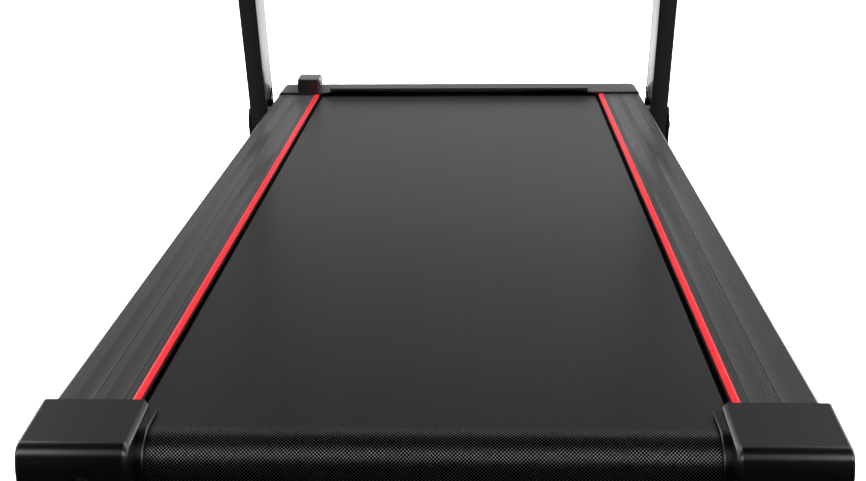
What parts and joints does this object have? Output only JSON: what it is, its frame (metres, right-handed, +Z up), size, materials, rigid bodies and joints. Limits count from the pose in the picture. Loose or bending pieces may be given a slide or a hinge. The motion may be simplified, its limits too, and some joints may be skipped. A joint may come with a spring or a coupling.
{
  "type": "folding treadmill",
  "caption": "Slim motorised treadmill with a flat woven belt, ribbed footrest rails with red stripes, rear end caps, and a hinged mast with console that folds down over the deck.",
  "frame": {"origin": "on the floor under the middle of the machine's footprint", "axes": "+Y from the user towards the motor end, +X to the user's right, +Z up"},
  "size_m": [0.6516, 1.4145, 1.1647],
  "materials": {
    "frame_paint": "semi-gloss black powder coat",
    "upright_paint": "gloss black powder coat",
    "rail_aluminium": "black anodised, finely ribbed",
    "stripe_red": "glossy red",
    "belt_rubber": "woven diamond texture",
    "deck_wood": "phenolic-faced board",
    "cap_plastic": "satin top, gloss rear face",
    "hood_plastic": "fine matt grain",
    "pan_plastic": "matt",
    "roller_steel": "zinc plated",
    "bolt_steel": "zinc plated",
    "pulley_aluminium": "turned",
    "motor_paint": "satin black",
    "drive_rubber": "ribbed",
    "foot_rubber": "matt",
    "grip_foam": "soft foam",
    "console_plastic": "fine matt grain",
    "lens_glass": "clear-coated dark lens",
    "button_green": "satin",
    "button_red": "satin",
    "button_grey": "satin",
    "pod_plastic": "matt",
    "pod_button_grey": "satin",
    "electrics_plastic": "matt",
    "heat_sink_aluminium": "as extruded"
  },
  "bodies": {
    "deck": {"base_frame": "frame_paint", "motor_bracket": "frame_paint", "hinge_bracket_left": "frame_paint", "hinge_bracket_right": "frame_paint", "rail_left": "rail_aluminium", "rail_right": "rail_aluminium", "stripe_left": "stripe_red", "stripe_right": "stripe_red", "running_belt": "belt_rubber", "deck_board": "deck_wood", "end_cap_left": "cap_plastic", "end_cap_right": "cap_plastic", "front_cover": "hood_plastic", "bottom_pan": "pan_plastic", "front_roller_axle": "bolt_steel", "pivot_bolt_left": "bolt_steel", "pivot_bolt_right": "bolt_steel", "wheel_axle_left": "bolt_steel", "wheel_axle_right": "bolt_steel", "motor": "motor_paint", "drive_belt": "drive_rubber", "front_pad_left": "foot_rubber", "front_pad_right": "foot_rubber", "deck_cushion_front_left": "foot_rubber", "deck_cushion_front_right": "foot_rubber", "deck_cushion_rear_left": "foot_rubber", "deck_cushion_rear_right": "foot_rubber", "corner_pod": "pod_plastic", "power_inlet": "electrics_plastic", "controller_box": "heat_sink_aluminium"},
    "mast": {"upright_left": "upright_paint", "upright_right": "upright_paint", "crossbar": "upright_paint", "handle_left": "upright_paint", "handle_right": "upright_paint", "grip_left": "grip_foam", "grip_right": "grip_foam", "console_body": "console_plastic", "display_lens": "lens_glass"},
    "front_roller_unit": {"front_roller": "roller_steel", "roller_pulley": "pulley_aluminium"},
    "motor_rotor": {"motor_pulley": "pulley_aluminium"},
    "rear_axle_unit": {"rear_roller_axle": "bolt_steel"},
    "rear_roller_unit": {"rear_roller": "roller_steel"},
    "tension_bolt_left_unit": {"tension_bolt_left": "bolt_steel"},
    "tension_bolt_right_unit": {"tension_bolt_right": "bolt_steel"},
    "rear_foot_left_unit": {"rear_foot_left": "foot_rubber"},
    "rear_foot_right_unit": {"rear_foot_right": "foot_rubber"},
    "transport_wheel_left_unit": {"transport_wheel_left": "foot_rubber"},
    "transport_wheel_right_unit": {"transport_wheel_right": "foot_rubber"},
    "power_switch_unit": {"power_switch": "electrics_plastic"},
    "pod_button_unit": {"pod_button": "pod_button_grey"},
    "lock_lever_left_unit": {"lock_lever_left": "cap_plastic"},
    "lock_lever_right_unit": {"lock_lever_right": "cap_plastic"},
    "safety_key_unit": {"safety_key": "button_red"},
    "start_button_unit": {"start_button": "button_green"},
    "stop_button_unit": {"stop_button": "button_red"},
    "speed_up_button_unit": {"speed_up_button": "button_grey"},
    "speed_down_button_unit": {"speed_down_button": "button_grey"}
  },
  "joints": [
    {"name": "mast_fold", "type": "hinge", "parent": "deck", "child": "mast", "pos_m": [0, 0.4755, 0.08], "axis": [1, 0, 0], "range_deg": [0, 69]},
    {"name": "front_roller_spin", "type": "hinge", "parent": "deck", "child": "front_roller_unit", "pos_m": [0, 0.53, 0.0953], "axis": [1, 0, 0], "continuous": true},
    {"name": "motor_spin", "type": "hinge", "parent": "deck", "child": "motor_rotor", "pos_m": [0, 0.622, 0.064], "axis": [1, 0, 0], "continuous": true},
    {"name": "rear_axle_tension", "type": "slide", "parent": "deck", "child": "rear_axle_unit", "axis": [0, 1, 0], "range_m": [0, 0.008]},
    {"name": "rear_roller_spin", "type": "hinge", "parent": "rear_axle_unit", "child": "rear_roller_unit", "pos_m": [0, -0.664, 0.0953], "axis": [1, 0, 0], "continuous": true},
    {"name": "tension_bolt_left_turn", "type": "hinge", "parent": "deck", "child": "tension_bolt_left_unit", "pos_m": [-0.24, -0.664, 0.0953], "axis": [0, 1, 0], "range_deg": [0, 2306]},
    {"name": "tension_bolt_right_turn", "type": "hinge", "parent": "deck", "child": "tension_bolt_right_unit", "pos_m": [0.24, -0.664, 0.0953], "axis": [0, 1, 0], "range_deg": [0, 2306]},
    {"name": "rear_foot_left_level", "type": "slide", "parent": "deck", "child": "rear_foot_left_unit", "axis": [0, 0, -1], "range_m": [0, 0.008]},
    {"name": "transport_wheel_left_spin", "type": "hinge", "parent": "deck", "child": "transport_wheel_left_unit", "pos_m": [-0.245, 0.665, 0.022], "axis": [1, 0, 0], "continuous": true},
    {"name": "lock_lever_left_turn", "type": "hinge", "parent": "mast", "child": "lock_lever_left_unit", "pos_m": [0, 0.44861, 0.12118], "axis": [1, 0, 0], "range_deg": [0, 75]},
    {"name": "rear_foot_right_level", "type": "slide", "parent": "deck", "child": "rear_foot_right_unit", "axis": [0, 0, -1], "range_m": [0, 0.008]},
    {"name": "transport_wheel_right_spin", "type": "hinge", "parent": "deck", "child": "transport_wheel_right_unit", "pos_m": [0.245, 0.665, 0.022], "axis": [1, 0, 0], "continuous": true},
    {"name": "lock_lever_right_turn", "type": "hinge", "parent": "mast", "child": "lock_lever_right_unit", "pos_m": [0, 0.44861, 0.12118], "axis": [1, 0, 0], "range_deg": [0, 75]},
    {"name": "power_switch_rock", "type": "hinge", "parent": "deck", "child": "power_switch_unit", "pos_m": [0, 0.694, 0.054], "axis": [1, 0, 0], "range_deg": [-16, 0]},
    {"name": "pod_button_press", "type": "slide", "parent": "deck", "child": "pod_button_unit", "axis": [-1, 0, 0], "range_m": [0, 0.0015]},
    {"name": "safety_key_pull", "type": "slide", "parent": "mast", "child": "safety_key_unit", "axis": [0, -0.7806, 0.6251], "range_m": [0, 0.015]},
    {"name": "start_button_press", "type": "slide", "parent": "mast", "child": "start_button_unit", "axis": [0, 0.7806, -0.6251], "range_m": [0, 0.0015]},
    {"name": "stop_button_press", "type": "slide", "parent": "mast", "child": "stop_button_unit", "axis": [0, 0.7806, -0.6251], "range_m": [0, 0.0015]},
    {"name": "speed_up_button_press", "type": "slide", "parent": "mast", "child": "speed_up_button_unit", "axis": [0, 0.7806, -0.6251], "range_m": [0, 0.0015]},
    {"name": "speed_down_button_press", "type": "slide", "parent": "mast", "child": "speed_down_button_unit", "axis": [0, 0.7806, -0.6251], "range_m": [0, 0.0015]}
  ],
  "couplings": [
    {"joint": "motor_spin", "follows": "front_roller_spin", "ratio": 2.2205},
    {"joint": "rear_roller_spin", "follows": "front_roller_spin", "ratio": 1},
    {"joint": "tension_bolt_left_turn", "follows": "rear_axle_tension", "rad_per_m": 5026.5},
    {"joint": "tension_bolt_right_turn", "follows": "rear_axle_tension", "rad_per_m": 5026.5}
  ]
}
